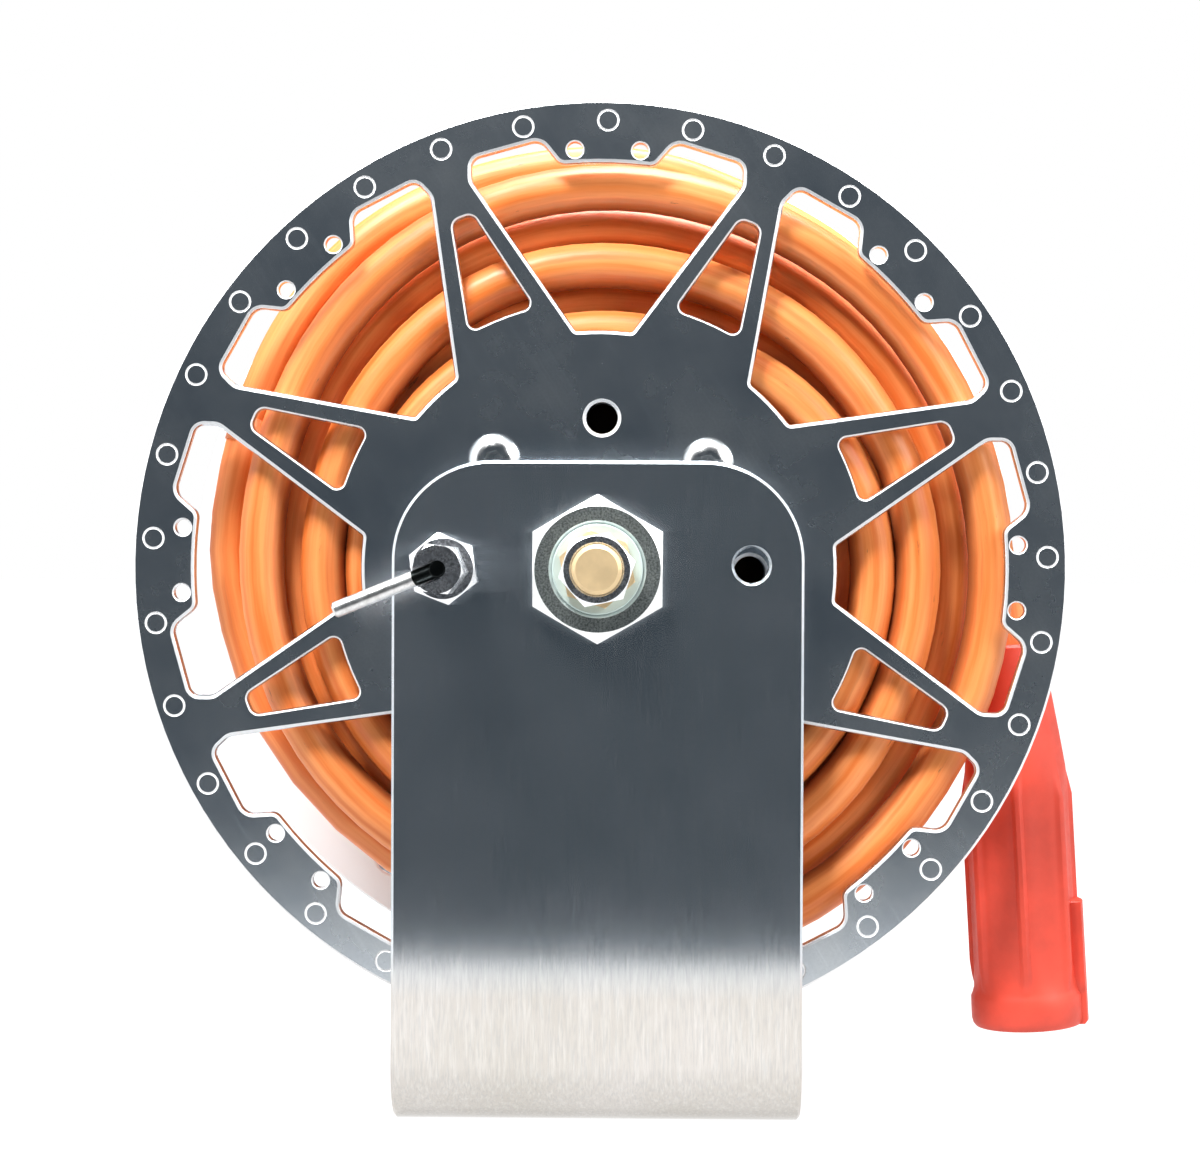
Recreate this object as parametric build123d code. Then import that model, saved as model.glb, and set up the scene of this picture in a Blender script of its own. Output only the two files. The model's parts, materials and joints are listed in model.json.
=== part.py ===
from build123d import *
import math
import os

# Hand-turned welding-lead reel: two slotted plate discs on a hollow hub, carried between the
# uprights of one bent plate stand.  Millimetres.  +Z is up, +X is to the right and -Y is the
# front.  The origin is the centre of the stand's underside.

# ---------------------------------------------------------------- driving dimensions
AXLE_Z = 180.0             # height of the axle above the ground
DISC_RADIUS = 152.4        # 12 inch discs
DISC_THICK = 4.76          # 3/16 inch plate
DISC_GAP = 114.3           # clear width between the discs
EDGE_BREAK = 0.85          # bevel along every cut edge of a disc

STAND_WIDTH = 132.0
STAND_THICK = 6.35         # 1/4 inch plate
STAND_TOP = AXLE_Z + 34.6
STAND_CORNER = 32.0
STAND_BREAK = 0.85
BEND_RADIUS = 19.5         # outside of the two bends
SIDE_GAP = 9.5             # between a disc and the upright beside it
LATCH_X = 49.15            # latch and spare hole, each side of the axle
SPARE_HOLE = 11.3
SPARE_BEVEL = 0.8
SPARE_RISE = 1.4           # the spare hole sits a little above the axle
BASE_HOLE = 10.5
BASE_HOLE_X = 45.0
BASE_HOLE_Y = 42.0

WINDOWS = 8
RIM_RINGS = 33
RING_CIRCLE = 145.9
HUB_CIRCLE = 49.15         # radius of the hub screws and of the lock holes
LOCK_HOLE = 10.4
SCREW_SHANK = 9.53
SCREW_HEAD = 17.4
HUB_PLATE_THICK = 9.5
WASHER_THICK = 1.6
BUSH_FLANGE = 2.5
REEL_TURN = 1.0            # degrees: the reel rests against one side of the latch's play
DRUM_RADIUS = 60.0
DRUM_WALL = 3.0

STUD = 15.875              # 5/8 inch brass terminal stud
STUD_FRONT = 98.4
STUD_REAR = 126.0
TERMINAL_START = 98.6      # the free part of the stud, behind its last nut
SPINDLE = 28.58            # 1 1/8 inch hollow spindle
SPINDLE_BORE = 20.6
SPINDLE_FRONT = 83.4
SHOULDER_RADIUS = 22.0     # collar of the spindle behind the upright
SHOULDER_THICK = 5.0
HUB_NUT_FLATS = 41.275     # 1 5/8 inch
HUB_NUT_FACE = 40.1
HUB_NUT_THICK = 7.6
INSULATOR_FLANGE = 14.45
INSULATOR_FRONT = 85.9
JAM_NUT_FLATS = 21.8
LOCK_NUT_FLATS = 21.4
JAM_NUT_FRONT = 90.1
LOCK_NUT_FRONT = 97.1
BUSH_OUTSIDE = 38.1
RUNNING_GAP = 0.05         # radial clearance of everything that turns

CABLE = 15.0               # outside diameter of the lead
COIL_Y = 56.2
COIL_FRONT_RADIUS = 136.8  # last turn, against the front disc
COIL_VALLEY_RADIUS = 121.5
COIL_REAR_RADIUS = 132.0
VALLEY_FRONT = -41.6
VALLEY_REAR = -8.0
TAIL_Y = -25.0             # plane in which the free end hangs

BOOT_TOP = Vector(138.7, TAIL_Y, 155.0)
BOOT_LEAN = 3.37           # degrees from vertical, foot outwards
BOOT_LENGTH = 129.5
BOOT_RADIUS = 17.6
BOOT_RIM = 18.9

# ---------------------------------------------------------------- worked-out places
DISC_IN = DISC_GAP / 2
DISC_OUT = DISC_IN + DISC_THICK
STAND_IN = DISC_OUT + SIDE_GAP
STAND_OUT = STAND_IN + STAND_THICK
HUB_PLATE_IN = DISC_IN - HUB_PLATE_THICK

LATCH_THREAD = 12.7
LATCH_NUT = 6.0            # thickness of the barrel's nut
LATCH_HEAD = 14.6          # across the flats of the barrel's head
LATCH_HEAD_BACK = 85.6
LATCH_COLLAR = 7.75        # radius of the collar behind the head
LATCH_END = 107.5          # front end of the latch barrel, measured from the middle plane
LATCH_SHOULDER = 87.5      # the spring bears here
LATCH_PIN = 8.0            # loose in the lock holes
LATCH_SLOT = 89.4          # floor of the handle slot
LATCH_TIP = 68.0           # tip of the drawn pin, clear of the screw heads
LATCH_NOSE_BACK = 76.5
LATCH_REAR = 68.5          # rear end of the barrel
LATCH_ROD = 104.2
LATCH_ANGLE = 202.0        # handle direction, anticlockwise from +X seen from the front
HANDLE_REACH = 34.8
HANDLE_ROD = 5.0

CARRIER_HALF = 6.0         # half the thickness of the slip contact's carrier
CONTACT_RADIUS = 20.0
CONTACT_FLANGE = 31.0
CONTACT_FACE = 14.0        # rear face of the slip contact's flange
CONTACT_CIRCLE = 26.0      # radius of its four screws
CONTACT_SCREW = 5.0
LUG_DROP = 24.0            # lug bolt, below the axle
LUG_BOLT = 8.0
LUG_THICK = 4.0
INNER_LEAD_Y = 26.0        # plane of the lead's straight inner end


# ---------------------------------------------------------------- helpers
def save(node, shape):
    export_step(shape, "parts/" + node + ".step")


def save_pair(front_name, shape):
    """Write a piece at the front, and the same piece mirrored at the rear."""
    save(front_name, shape)
    save(front_name.replace("_front", "_rear"), mirrored(shape))


def turned(outline, x=0.0, z=AXLE_Z):
    """Solid of revolution about a line along Y; the outline is (radius, y) corners."""
    section = make_face(Polyline(*outline, close=True))
    return Pos(x, 0, z) * revolve(section, Axis.Y, 360)


def rod_y(diameter, y_from, y_to, x=0.0, z=AXLE_Z):
    """Round bar along Y."""
    r = diameter / 2
    return turned([(0, y_from), (r, y_from), (r, y_to), (0, y_to)], x, z)


def plate_y(sketch, y_front, y_back, x=0.0, z=AXLE_Z):
    """Plate square to Y, cut to a sketch drawn as seen from the front."""
    face = Pos(x, y_back, z) * (Plane.XZ * sketch)
    return extrude(face, amount=y_back - y_front, dir=(0, -1, 0))


def mirrored(shape):
    """The same piece at the rear of the reel."""
    return mirror(shape, Plane.XZ)


def on_reel(shape):
    """Turn a piece of the reel about the axle to where the reel stands at rest."""
    return Pos(0, 0, AXLE_Z) * Rot(0, REEL_TURN, 0) * Pos(0, 0, -AXLE_Z) * shape


def polar(radius, degrees):
    """Point at an angle measured clockwise from straight up."""
    a = math.radians(degrees)
    return radius * math.sin(a), radius * math.cos(a)


def hexagon(across_flats, turn):
    return Rot(0, 0, turn) * RegularPolygon(across_flats / 2, 6, major_radius=False)


def hex_nut(across_flats, face, hole, lead_in, y_front, y_back, turn, x=0.0):
    """Nut with its corners bevelled at 30 degrees on the front and a bevelled thread mouth."""
    corner = across_flats / math.sqrt(3) + 0.01
    fall = (corner - face / 2) * math.tan(math.radians(30))
    blank = [(0, y_front), (face / 2, y_front), (corner, y_front + fall),
             (corner, y_back), (0, y_back)]
    mouth = (lead_in - hole) / 2
    bore = [(0, y_front - 1), (lead_in / 2 + 1, y_front - 1), (hole / 2, y_front + mouth),
            (hole / 2, y_back + 1), (0, y_back + 1)]
    body = plate_y(hexagon(across_flats, turn), y_front, y_back, x)
    return (body & turned(blank, x)) - turned(bore, x)


# ---------------------------------------------------------------- stand
def stand_bracket():
    """One bent plate: two uprights with round corners and the base between them."""
    flat_y = STAND_OUT - BEND_RADIUS
    mid = BEND_RADIUS * math.sqrt(0.5)
    inner = BEND_RADIUS - STAND_THICK
    inner_mid = inner * math.sqrt(0.5)
    half = [
        Line((STAND_IN, STAND_TOP), (STAND_OUT, STAND_TOP)),
        Line((STAND_OUT, STAND_TOP), (STAND_OUT, BEND_RADIUS)),
        ThreePointArc((STAND_OUT, BEND_RADIUS), (flat_y + mid, BEND_RADIUS - mid), (flat_y, 0)),
        Line((flat_y, 0), (0, 0)),
        Line((0, 0), (0, STAND_THICK)),
        Line((0, STAND_THICK), (flat_y, STAND_THICK)),
        ThreePointArc((flat_y, STAND_THICK), (flat_y + inner_mid, BEND_RADIUS - inner_mid),
                      (STAND_IN, BEND_RADIUS)),
        Line((STAND_IN, BEND_RADIUS), (STAND_IN, STAND_TOP)),
    ]
    section = Plane.YZ * make_face(half)
    side = extrude(section, amount=STAND_WIDTH / 2, both=True)
    plate = side + mirrored(side)
    corners = plate.edges().filter_by(Axis.Y).filter_by(
        lambda e: e.center().Z > STAND_TOP - 1 and abs(e.center().X) > STAND_WIDTH / 2 - 1)
    plate = fillet(corners, STAND_CORNER)
    sides = plate.edges().filter_by(lambda e: not is_seam(e))
    plate = chamfer(sides, STAND_BREAK)
    for y_from, y_to in ((-STAND_OUT - 1, -STAND_IN + 1), (STAND_IN - 1, STAND_OUT + 1)):
        plate -= rod_y(SPINDLE, y_from, y_to)
    plate -= rod_y(LATCH_THREAD, -STAND_OUT - 1, -STAND_IN + 1, -LATCH_X)
    spare_z = AXLE_Z + SPARE_RISE
    plate -= rod_y(SPARE_HOLE, -STAND_OUT - 1, -STAND_IN + 1, LATCH_X, spare_z)
    r = SPARE_HOLE / 2
    plate -= turned([(0, -STAND_OUT - 0.2), (r + SPARE_BEVEL + 0.2, -STAND_OUT - 0.2),
                     (r, -STAND_OUT + SPARE_BEVEL), (0, -STAND_OUT + SPARE_BEVEL)],
                    LATCH_X, spare_z)
    for x in (-BASE_HOLE_X, BASE_HOLE_X):
        for y in (-BASE_HOLE_Y, BASE_HOLE_Y):
            plate -= Pos(x, y, STAND_THICK / 2) * Cylinder(BASE_HOLE / 2, STAND_THICK + 2)
    return plate


def is_seam(edge):
    """True for the lines where two faces of the bent plate run smoothly into each other."""
    if edge.geom_type != GeomType.LINE:
        return False
    way = edge % 0.5
    where = edge.center()
    if abs(way.Y) > 0.99 and where.Z > BEND_RADIUS:
        return True
    return abs(way.X) > 0.99 and where.Z < STAND_TOP - 1


def spindle_front():
    """Hollow threaded spindle: thread, shoulder behind the upright, journal for the bush."""
    journal = SPINDLE / 2
    bore = SPINDLE_BORE / 2
    shoulder_end = -STAND_IN + SHOULDER_THICK
    inner_end = -HUB_PLATE_IN + 2
    return turned([(bore, -SPINDLE_FRONT), (journal - 1, -SPINDLE_FRONT),
                   (journal, -SPINDLE_FRONT + 1), (journal, -STAND_IN),
                   (SHOULDER_RADIUS, -STAND_IN), (SHOULDER_RADIUS, shoulder_end),
                   (journal, shoulder_end), (journal, inner_end), (bore, inner_end)])


def hub_jam_nut_front():
    """Large thin nut that holds the spindle in the upright."""
    return hex_nut(HUB_NUT_FLATS, HUB_NUT_FACE, SPINDLE, 31.0, -STAND_OUT - HUB_NUT_THICK,
                   -STAND_OUT, 30)


def insulator_front():
    """Flanged nylon sleeve that keeps the live stud off the spindle."""
    flange = INSULATOR_FLANGE
    relief = 0.3           # keeps the back of the flange clear of the large nut's thread
    sleeve = SPINDLE_BORE / 2
    bore = STUD / 2
    inner_end = -HUB_PLATE_IN + 4
    return turned([(bore, -INSULATOR_FRONT), (flange - 0.4, -INSULATOR_FRONT),
                   (flange, -INSULATOR_FRONT + 0.4), (flange, -INSULATOR_FRONT + 1.4),
                   (flange - relief, -INSULATOR_FRONT + 1.8), (flange - relief, -SPINDLE_FRONT),
                   (sleeve, -SPINDLE_FRONT), (sleeve, inner_end), (bore, inner_end)])


def contact_stud():
    """Fixed brass stud through the whole hub; its rear end is the supply terminal."""
    r = STUD / 2
    tip = 1.25
    groove = r - 1
    return turned([(0, -STUD_FRONT), (r - tip, -STUD_FRONT), (r, -STUD_FRONT + tip),
                   (r, TERMINAL_START - 1), (groove, TERMINAL_START - 1),
                   (groove, TERMINAL_START), (r, TERMINAL_START),
                   (r, STUD_REAR - tip), (r - tip, STUD_REAR), (0, STUD_REAR)])


def stud_jam_nut_front():
    """Thin brass nut against the insulator, its corners half a turn off the nut in front."""
    return hex_nut(JAM_NUT_FLATS, 24.5, STUD, 17.4, -JAM_NUT_FRONT, -INSULATOR_FRONT, 42)


def stud_lock_nut_front():
    """Steel nut that locks the brass one."""
    return hex_nut(LOCK_NUT_FLATS, 20.9, STUD, 17.2, -LOCK_NUT_FRONT, -JAM_NUT_FRONT, 12)


def thrust_washer_front():
    """Loose washer between the bush's flange and the spindle's shoulder."""
    inside = SPINDLE / 2 + 0.3
    outside = SHOULDER_RADIUS - 1
    back = -DISC_OUT - BUSH_FLANGE - 0.2
    return turned([(inside, back - WASHER_THICK), (outside, back - WASHER_THICK),
                   (outside, back), (inside, back)])


# ---------------------------------------------------------------- latch
def latch_barrel():
    """Threaded barrel with a hexagon head; the handle rod rides in the slot of the head."""
    thread = LATCH_THREAD / 2
    body = turned([(0, -LATCH_REAR), (thread, -LATCH_REAR), (thread, -STAND_OUT - LATCH_NUT),
                   (LATCH_COLLAR, -LATCH_HEAD_BACK + 1.7), (LATCH_COLLAR, -LATCH_HEAD_BACK),
                   (0, -LATCH_HEAD_BACK)], -LATCH_X)
    head = plate_y(hexagon(LATCH_HEAD, 53.5), -LATCH_END, -LATCH_HEAD_BACK, -LATCH_X)
    corner = 8.5
    head &= turned([(0, -LATCH_END), (corner - 1, -LATCH_END), (corner, -LATCH_END + 0.6),
                    (corner, -LATCH_HEAD_BACK), (0, -LATCH_HEAD_BACK)], -LATCH_X)
    slot_length = 14.0
    slot_width = 6.2
    slot = Box(slot_length, LATCH_END - LATCH_SLOT + 1, slot_width)
    middle = Pos(-LATCH_X, -(LATCH_END + LATCH_SLOT + 1) / 2, AXLE_Z)
    slot = middle * Rot(0, -LATCH_ANGLE, 0) * Pos(slot_length / 2, 0, 0) * slot
    bore = rod_y(LATCH_PIN + 0.1, -LATCH_SHOULDER, -LATCH_REAR + 1, -LATCH_X)
    guide = rod_y(5.4, -LATCH_END - 1, -LATCH_SHOULDER + 1, -LATCH_X)
    return body + head - slot - bore - guide


def latch_jam_nut():
    """Nut that locks the barrel in the upright."""
    return hex_nut(20.2, 19.4, LATCH_THREAD, 14.2, -STAND_OUT - LATCH_NUT, -STAND_OUT, 38.6,
                   -LATCH_X)


def latch_pin():
    """Nose that drops into a lock hole, and the shank that carries the handle."""
    shank_end = LATCH_ROD + HANDLE_ROD / 2 + 0.4
    nose = LATCH_PIN / 2
    shank = 2.65
    pin = turned([(0, -LATCH_TIP), (nose - 0.8, -LATCH_TIP), (nose, -LATCH_TIP - 0.8),
                  (nose, -LATCH_NOSE_BACK), (shank, -LATCH_NOSE_BACK), (shank, -shank_end + 0.5),
                  (shank - 0.5, -shank_end), (0, -shank_end)], -LATCH_X)
    return pin - handle_rod(0, 10)


def handle_rod(start, length):
    """Round bar square to the latch, along the handle's direction."""
    bar = Pos(start + length / 2, 0, 0) * Rot(0, 90, 0) * Cylinder(HANDLE_ROD / 2, length)
    return Pos(-LATCH_X, -LATCH_ROD, AXLE_Z) * Rot(0, -LATCH_ANGLE, 0) * bar


def latch_handle():
    """Bar pressed into the shank; it sticks out to one side."""
    rod = handle_rod(0, HANDLE_REACH)
    tip = rod.edges().filter_by(GeomType.CIRCLE).sort_by(Axis.X)[0]
    return chamfer(tip, 0.7)


def latch_spring():
    """Compression spring between the pin's nose and the barrel's shoulder."""
    wire = 0.7
    length = LATCH_SHOULDER - LATCH_NOSE_BACK - wire - 0.2
    line = Helix(length / 5, length, 3.25)
    coil = sweep(Plane(line @ 0, z_dir=line % 0) * Circle(wire / 2), path=line)
    return Pos(-LATCH_X, -LATCH_NOSE_BACK - wire / 2 - 0.1, AXLE_Z) * Rot(90, 0, 0) * coil


# ---------------------------------------------------------------- reel
def window_sketch():
    """Large window, drawn pointing up: narrow foot, wide head, and a tab in the rim's middle."""
    half = [(-9.3, 76.8), (-44.5, 125.3), (-44.6, 132.8), (-22.0, 139.5), (-15.3, 131.6)]
    other = [(-x, y) for x, y in reversed(half)]
    tab_radius = math.hypot(*half[-1])
    foot_radius = math.hypot(*half[0])
    face = make_face([
        Polyline(*half),
        ThreePointArc(half[-1], (0, tab_radius), other[0]),
        Polyline(*other),
        ThreePointArc(other[-1], (0, foot_radius), half[0]),
    ])
    rounds = (1.8, 5.0, 4.0, 5.0, 3.5)
    for (x, y), radius in zip(half, rounds):
        pair = [v for v in face.vertices() if abs(abs(v.X) + x) < 0.05 and abs(v.Y - y) < 0.05]
        face = fillet(pair, radius)
    return offset(face, -EDGE_BREAK / 2)


def spoke_sketch():
    """Small tapered opening along a spoke, drawn pointing up."""
    foot = (-11.6, 86.7)
    tip = (-3.76, 123.0)
    face = make_face([
        Polyline(foot, tip, (-tip[0], tip[1]), (-foot[0], foot[1])),
        ThreePointArc((-foot[0], foot[1]), (0, math.hypot(*foot)), foot),
    ])
    for y, radius in ((tip[1], 3.4), (foot[1], 2.8)):
        pair = [v for v in face.vertices() if abs(v.Y - y) < 0.05]
        face = fillet(pair, radius)
    return offset(face, -EDGE_BREAK / 2)


def disc_front():
    """Slotted and bevelled plate disc with rings engraved round the rim."""
    sketch = Circle(DISC_RADIUS)
    pitch = 360 / WINDOWS
    window = window_sketch()
    spoke = spoke_sketch()
    for i in range(WINDOWS):
        sketch -= Rot(0, 0, i * pitch) * window
        sketch -= Rot(0, 0, (i + 0.5) * pitch) * spoke
        for side in (-4.47, 4.47):
            x, y = polar(136.6, i * pitch + side)
            sketch -= Pos(x, y) * Circle(2.65)
    disc = plate_y(sketch, -DISC_OUT, -DISC_IN)
    edges = [e for e in disc.edges() if abs((e @ 0).Y - (e @ 1).Y) < 0.1]
    disc = chamfer([e for e in edges if not is_tie_hole(e)], EDGE_BREAK)
    small = [e for e in disc.edges() if is_tie_hole(e)]
    disc = chamfer(small, 0.45)
    disc -= rod_y(BUSH_OUTSIDE, -DISC_OUT - 1, -DISC_IN + 1)
    for i in range(4):
        x, z = polar(HUB_CIRCLE, 90 * i)
        disc -= lock_hole(x, z)
        x, z = polar(HUB_CIRCLE, 45 + 90 * i)
        disc -= rod_y(SCREW_SHANK, -DISC_OUT - 1, -DISC_IN + 1, x, AXLE_Z + z)
    for i in range(RIM_RINGS):
        x, z = polar(RING_CIRCLE, i * 360 / RIM_RINGS)
        disc -= engraved_ring(x, z)
    return disc


def is_tie_hole(edge):
    """True for the rims of the small holes in the tabs."""
    return edge.geom_type == GeomType.CIRCLE and edge.radius < 2.7


def lock_hole(x, z):
    """Bevelled hole that the latch pin drops into."""
    r = LOCK_HOLE / 2
    bevel = 1.1
    return turned([(0, -DISC_OUT - 1), (r + bevel + 1, -DISC_OUT - 1), (r, -DISC_OUT + bevel),
                   (r, -DISC_IN + 1), (0, -DISC_IN + 1)], x, AXLE_Z + z)


def engraved_ring(x, z):
    """V groove round a circle on the outer face of a disc."""
    middle = 3.28
    half_width = 0.38
    depth = 0.36
    return turned([(middle - half_width, -DISC_OUT - 0.001), (middle, -DISC_OUT + depth),
                   (middle + half_width, -DISC_OUT - 0.001), (middle + half_width, -DISC_OUT - 1),
                   (middle - half_width, -DISC_OUT - 1)], x, AXLE_Z + z)


def hub_plate_front():
    """Thick round plate behind the disc: it takes the bush, the screws and the drum's end."""
    r = DRUM_RADIUS - DRUM_WALL
    plate = turned([(BUSH_OUTSIDE / 2, -DISC_IN), (r, -DISC_IN), (r, -HUB_PLATE_IN),
                    (BUSH_OUTSIDE / 2, -HUB_PLATE_IN)])
    for i in range(4):
        x, z = polar(HUB_CIRCLE, 90 * i)
        plate -= rod_y(LOCK_HOLE, -DISC_OUT, -HUB_PLATE_IN + 1, x, AXLE_Z + z)
        x, z = polar(HUB_CIRCLE, 45 + 90 * i)
        plate -= rod_y(SCREW_SHANK, -DISC_OUT, -HUB_PLATE_IN + 1, x, AXLE_Z + z)
    return plate


def hub_bush_front():
    """Flanged bronze bush that turns on the spindle's journal."""
    bore = SPINDLE / 2 + RUNNING_GAP
    outside = BUSH_OUTSIDE / 2
    flange = SHOULDER_RADIUS + 1
    face = -DISC_OUT - BUSH_FLANGE
    return turned([(bore, face), (flange, face), (flange, -DISC_OUT), (outside, -DISC_OUT),
                   (outside, -HUB_PLATE_IN), (bore, -HUB_PLATE_IN)])


def disc_screws_front():
    """Four button-head socket screws through the disc into the hub plate."""
    head_height = 5.2
    top = -DISC_OUT - head_height
    crown = SCREW_HEAD / 2
    section = make_face([
        Polyline((0, -HUB_PLATE_IN - 0.5), (SCREW_SHANK / 2, -HUB_PLATE_IN - 0.5),
                 (SCREW_SHANK / 2, -DISC_OUT), (crown, -DISC_OUT), (crown, -DISC_OUT - 0.6)),
        ThreePointArc((crown, -DISC_OUT - 0.6), (6.9, top + 1.35), (4.3, top)),
        Polyline((4.3, top), (0, top), (0, -HUB_PLATE_IN - 0.5)),
    ])
    screw = Pos(0, 0, AXLE_Z) * revolve(section, Axis.Y, 360)
    screw -= plate_y(hexagon(5.56, 15), top - 1, top + 3.2)
    places = [polar(HUB_CIRCLE, 45 + 90 * i) for i in range(4)]
    return Compound([Pos(x, 0, z) * screw for x, z in places])


def drum_tube():
    """Barrel that the lead is wound on, with a hole where the inner end comes through."""
    r = DRUM_RADIUS
    tube = turned([(r - DRUM_WALL, -DISC_IN), (r, -DISC_IN), (r, DISC_IN),
                   (r - DRUM_WALL, DISC_IN)])
    hole = 9.0
    return tube - Pos(0, INNER_LEAD_Y, AXLE_Z - r) * Cylinder(hole, 20)


def contact_carrier():
    """Insulating disc inside the drum that holds the slip contact."""
    r = DRUM_RADIUS - DRUM_WALL
    half = CARRIER_HALF
    disc = turned([(CONTACT_RADIUS, -half), (r, -half), (r, half), (CONTACT_RADIUS, half)])
    for x, z in contact_screw_places():
        disc -= rod_y(CONTACT_SCREW, -half - 1, half + 1, x, z)
    return disc


def contact_screw_places():
    """(x, z) of the slip contact's four screws."""
    spots = [polar(CONTACT_CIRCLE, 45 + 90 * i) for i in range(4)]
    return [(x, AXLE_Z + z) for x, z in spots]


def contact_hub():
    """Brass slip contact that turns on the fixed stud; the inner lug bolts to its flange."""
    bore = STUD / 2 + RUNNING_GAP
    front = -CARRIER_HALF - 4
    hub = turned([(bore, front), (CONTACT_RADIUS, front), (CONTACT_RADIUS, CARRIER_HALF),
                  (CONTACT_FLANGE, CARRIER_HALF), (CONTACT_FLANGE, CONTACT_FACE),
                  (bore, CONTACT_FACE)])
    for x, z in contact_screw_places():
        hub -= rod_y(CONTACT_SCREW, CARRIER_HALF - 1, CONTACT_FACE + 1, x, z)
    return hub - rod_y(LUG_BOLT, CARRIER_HALF - 1, CONTACT_FACE + 1, 0, AXLE_Z - LUG_DROP)


def carrier_screws():
    """Four screws that hold the slip contact to its carrier."""
    shank = CONTACT_SCREW / 2
    head = shank + 2
    top = CONTACT_FACE + 3
    outline = [(0, -CARRIER_HALF), (shank, -CARRIER_HALF), (shank, CONTACT_FACE),
               (head, CONTACT_FACE), (head, top), (0, top)]
    return Compound([turned(outline, x, z) for x, z in contact_screw_places()])


def lead_lug():
    """Copper lug: a flat tongue on the slip contact and a barrel for the inner end."""
    width = 16.0
    back = CONTACT_FACE + LUG_THICK
    tongue = Pos(0, back - LUG_THICK / 2, AXLE_Z - 25) * Box(width, LUG_THICK, 20)
    barrel = Pos(0, INNER_LEAD_Y, AXLE_Z - 40) * Cylinder(10, 14)
    step = Pos(0, back + 4, AXLE_Z - 34) * Box(width, width, LUG_THICK)
    lug = tongue + step + barrel
    lug -= Pos(0, INNER_LEAD_Y, AXLE_Z - 42) * Cylinder(CABLE / 2, 12)
    return lug - rod_y(LUG_BOLT, CONTACT_FACE - 1, back + 1, 0, AXLE_Z - LUG_DROP)


def lug_bolt():
    """Bolt through the lug's tongue into the slip contact."""
    z = AXLE_Z - LUG_DROP
    seat = CONTACT_FACE + LUG_THICK
    head_height = 4.0
    shank = rod_y(LUG_BOLT, CARRIER_HALF + 1, seat, 0, z)
    return shank + plate_y(hexagon(13, 0), seat, seat + head_height, 0, z)


def inner_lead():
    """Straight inner end of the lead, from the lug out through the drum's wall."""
    top = AXLE_Z - 36
    foot = AXLE_Z - DRUM_RADIUS + 0.6
    return Pos(0, INNER_LEAD_Y, (top + foot) / 2) * Cylinder(CABLE / 2, top - foot)


# ---------------------------------------------------------------- lead
def lead_coil():
    """Outer shape of the wound lead: a valley in the last layer holds the free end."""
    inside = DRUM_RADIUS
    return turned([(inside, -COIL_Y), (COIL_FRONT_RADIUS - 3, -COIL_Y),
                   (COIL_FRONT_RADIUS, -COIL_Y + 3), (COIL_FRONT_RADIUS, VALLEY_FRONT - 3),
                   (COIL_FRONT_RADIUS - 3, VALLEY_FRONT), (COIL_VALLEY_RADIUS, VALLEY_FRONT),
                   (COIL_VALLEY_RADIUS, VALLEY_REAR), (COIL_REAR_RADIUS - 3, VALLEY_REAR),
                   (COIL_REAR_RADIUS, VALLEY_REAR + 3), (COIL_REAR_RADIUS, COIL_Y - 3),
                   (COIL_REAR_RADIUS - 3, COIL_Y), (inside, COIL_Y)])


def tail_route():
    """Corners of the free end's route: round the coil, then down into the boot."""
    clear = COIL_VALLEY_RADIUS + 0.3 + CABLE / 2
    corner = clear / math.cos(math.radians(10))
    route = []
    for degrees in (20, 40, 60):
        x, z = polar(corner, degrees)
        route.append(Vector(x, TAIL_Y, AXLE_Z + z))
    route.append(along_boot(-26.2))
    route.append(along_boot(41.0))
    return route


def along_boot(depth):
    """Point on the boot's axis, so far below its top."""
    lean = math.radians(BOOT_LEAN)
    return BOOT_TOP + Vector(math.sin(lean), 0, -math.cos(lean)) * depth


def rounded_path(route):
    """Straight runs joined by arcs as large as the runs allow."""
    radii = []
    for before, corner, after in zip(route, route[1:], route[2:]):
        first = corner - before
        second = after - corner
        half_turn = math.radians(first.get_angle(second)) / 2
        radii.append(0.45 * min(first.length, second.length) / math.tan(half_turn))
    print("lead_tail radii", [round(r, 1) for r in radii])
    return FilletPolyline(*route, radius=radii)


def lead_tail():
    """Free end of the lead, from the coil to the connector."""
    path = rounded_path(tail_route())
    tube = sweep(Plane(path @ 0, z_dir=path % 0) * Circle(CABLE / 2), path=path)
    expected = math.pi * CABLE ** 2 / 4 * path.length
    print("lead_tail length", round(path.length, 1), "volume", round(tube.volume),
          "expected", round(expected))
    return tube


def on_boot_axis(shape):
    """Move a shape drawn downwards from the origin onto the boot's leaning axis."""
    return Pos(*BOOT_TOP) * Rot(0, -BOOT_LEAN, 0) * shape


def turned_z(outline):
    """Solid of revolution about Z from (radius, depth) corners, depth counted downwards."""
    section = Plane.XZ * make_face(Polyline(*[(r, -d) for r, d in outline], close=True))
    return revolve(section, Axis.Z, 360)


def connector_boot():
    """Rubber connector body: tapered neck, ribbed grip, rim, and a long key on one side."""
    end = BOOT_LENGTH
    body = turned_z([(0, 0), (10.4, 0), (11.4, 1.2), (13.6, 18), (16.9, 42), (BOOT_RADIUS, 50),
                     (BOOT_RADIUS, end - 13), (BOOT_RIM, end - 10), (BOOT_RIM, end - 2.5),
                     (BOOT_RIM - 2, end), (0, end)])
    ring = turned_z([(14, 88), (20.4, 88), (20.4, end - 2), (19.4, end), (14, end)])
    body += ring & (Pos(18, 0, -110) * Box(12, 15, 60))
    rib = Box(2.2, 2.4, 70)
    for degrees in (45, 90, 135, 180, 225, 270, 315):
        body += Rot(0, 0, degrees) * Pos(BOOT_RADIUS - 0.2, 0, -83) * rib
    body -= turned_z([(0, -1), (7.7, -1), (7.7, 41), (9.6, 41), (9.6, 60), (12.6, 60),
                      (12.6, end + 1), (0, end + 1)])
    return on_boot_axis(body)


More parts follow.
